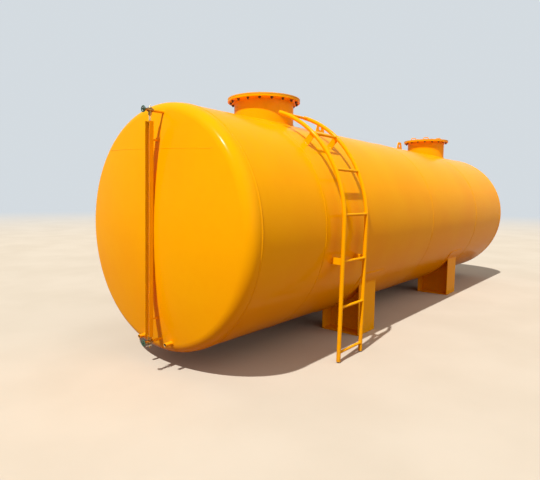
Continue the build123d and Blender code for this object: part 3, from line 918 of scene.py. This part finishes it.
def on_gauge(rise):
    """The y and z of a spot on the gauge's line, a height above the tank's axis."""
    y = AXIS_Y + GAUGE_OFFSET * cos(GAUGE_TURN) - rise * sin(GAUGE_TURN)
    return y, AXIS_Z + GAUGE_OFFSET * sin(GAUGE_TURN) + rise * cos(GAUGE_TURN)


def root_ring(y, z, radius, across):
    """The weld where a pipe along X leaves the near head."""
    path, outs = [], []
    count = max(SMALL_RING_POINTS, int(tau * radius / ROOT_SPACING))
    for i in range(count):
        turn = tau * i / count
        py, pz = y + radius * cos(turn), z + radius * sin(turn)
        radial = hypot(py - AXIS_Y, pz - AXIS_Z)
        path.append(Vector((NEAR_X - head_out(radial), py, pz)))
        outs.append(Vector((-1, cos(turn), sin(turn))))
    weld(roots, path, outs, across, closed=True)


for name, bead in (
    ("left_outlet", OUTLET_BEAD),
    ("right_outlet", OUTLET_BEAD),
    ("upper_nozzle", NOZZLE_BEAD),
    ("lower_nozzle", NOZZLE_BEAD),
):
    low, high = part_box(name)
    _, y, z = middle(low, high)
    root_ring(y, z, (high.z - low.z) / 2, bead)
guard_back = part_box("gauge_guard")[1].x
for rise in STANDOFF_RISES:
    y, z = on_gauge(rise)
    root_ring(y, z, STANDOFF_RADIUS, STANDOFF_HEAD_BEAD)
    points, outs = ring((guard_back, y, z), (1, 0, 0), STANDOFF_RADIUS, SMALL_RING_POINTS)
    weld(roots, points, outs, STANDOFF_GUARD_BEAD, closed=True)
roots.piece("gauge_root_welds", weld_paint)

# nuts that hold the handwheels on their stems
for name in ("upper", "lower"):
    nut = Build()
    _, y, z = middle(*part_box(f"{name}_handwheel"))
    center = (GLASS_X - WHEEL_FACE, y, z)
    hexagon(nut, center, (-1, 0, 0), SEAT_GAP, STEM_TIP - 0.0004, WHEEL_NUT_FLATS, WHEEL_NUT_TURN)
    nut.piece(f"{name}_wheel_nut", dark_steel, "lever_steel", f"{name}_wheel")

# cone-shaped vent plug that stands on the upper cock
y, z = on_gauge(UPPER_COCK_RISE)
cone = Build()
lathe(cone, (GLASS_X, y, z), (0, -sin(GAUGE_TURN), cos(GAUGE_TURN)), VENT_PROFILE, VENT_SIDES, False)
cone.piece("upper_vent_plug", bright_brass, "gauge_brass")

# the two outlets: threads round their ends, and a lining of pale zinc and dark scale in their bores, the
# scale partly painted shade
threads, scale = Build(), Build()
for name in ("left_outlet", "right_outlet"):
    low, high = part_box(name)
    _, y, z = middle(low, high)
    radius = (high.z - low.z) / 2
    for k in range(THREAD_TURNS):
        center = (low.x + THREAD_START + k * THREAD_PITCH, y, z)
        points, outs = ring(center, (1, 0, 0), radius - THREAD_SINK, THREAD_POINTS)
        weld(threads, points, outs, THREAD_BEAD, closed=True, sides=6)
    bore = radius - OUTLET_WALL
    inner_end = high.x - low.x - LINING_END[0]
    inside = [(depth, bore - thickness) for depth, thickness in (*LINING, (inner_end, LINING_END[1]))]
    outside = [(inner_end, bore - LINING_BACK), (LINING[0][0], bore - LINING_BACK)]
    tube(scale, (low.x, y, z), (1, 0, 0), inside + outside, THREAD_POINTS)
threads.piece("outlet_threads", fitting_paint)
# the lining's dark scale is partly painted shade of the bores
scale.piece("outlet_scale_and_painted_shade", bore_scale_and_painted_shade, "lever_steel")


# floor, world and lamps
def place_floor():
    """A plain pale floor that fades into the backdrop far from the tank."""
    mesh = bpy.data.meshes.new("floor")
    half = 120
    corners = [(-half, -half, 0), (half, -half, 0), (half, half, 0), (-half, half, 0)]
    mesh.from_pydata(corners, [], [(0, 1, 2, 3)])
    floor = bpy.data.objects.new("floor", mesh)
    bpy.context.scene.collection.objects.link(floor)
    material, tree, shader = start_material("floor")
    place = object_place(tree)
    patch = ramp(tree, noise(tree, place, 0.8, 4), 0.3, 0.7)
    pale = mix(tree, patch, FLOOR, FLOOR_LIGHT)
    # the floor's light on the tank is that of warm ground
    bounced = wire(tree, "LightPath").outputs["Is Diffuse Ray"]
    tree.links.new(mix(tree, bounced, pale, FLOOR_BOUNCE), shader.inputs["Base Color"])
    shader.inputs["Roughness"].default_value = 0.9
    shader.inputs["Specular IOR Level"].default_value = 0.1
    distance = wire(tree, "VectorMath", {0: place}, operation="LENGTH").outputs["Value"]
    far = ramp(tree, distance, 9.0, 45.0)
    seen = wire(tree, "LightPath").outputs["Is Camera Ray"]
    glow = wire(tree, "Emission", {"Color": SKY, "Strength": 1.0})
    shares = {0: times(tree, far, seen), 1: shader.outputs["BSDF"], 2: glow.outputs["Emission"]}
    blend = wire(tree, "MixShader", shares)
    output = next(n for n in tree.nodes if n.type == "OUTPUT_MATERIAL")
    tree.links.new(blend.outputs["Shader"], output.inputs["Surface"])
    mesh.materials.append(material)


def light_world():
    """A soft fill all round, with the pale backdrop where it is seen or mirrored."""
    world = bpy.data.worlds.new("world")
    bpy.context.scene.world = world
    world.use_nodes = True
    tree = world.node_tree
    tree.nodes.clear()
    rays = wire(tree, "LightPath").outputs
    shown = calc(tree, "MAXIMUM", rays["Is Camera Ray"], rays["Is Transmission Ray"])
    shown = calc(tree, "MAXIMUM", shown, rays["Is Glossy Ray"])
    fill = wire(tree, "Background", {"Color": (*FILL, 1), "Strength": 0.36})
    backdrop = wire(tree, "Background", {"Color": SKY, "Strength": 1.0})
    both = wire(tree, "MixShader", {0: shown, 1: fill.outputs[0], 2: backdrop.outputs[0]})
    output = wire(tree, "OutputWorld")
    tree.links.new(both.outputs[0], output.inputs["Surface"])


def add_sun(name, toward, energy, colour, angle):
    """A sun lamp that lies toward a direction from the tank."""
    data = bpy.data.lights.new(name, "SUN")
    data.energy = energy
    data.color = colour
    data.angle = radians(angle)
    lamp = bpy.data.objects.new(name, data)
    bpy.context.scene.collection.objects.link(lamp)
    lamp.rotation_euler = Vector(toward).to_track_quat("Z", "Y").to_euler()


place_floor()
light_world()
add_sun("key", toward=(-0.543, -0.084, 0.836), energy=4.05, colour=(1.0, 0.98, 0.93), angle=0.9)
add_sun("side_fill", toward=(0.1, -1.0, 0.5), energy=0.66, colour=FILL, angle=70)

bpy.context.scene.view_settings.view_transform = "Standard"
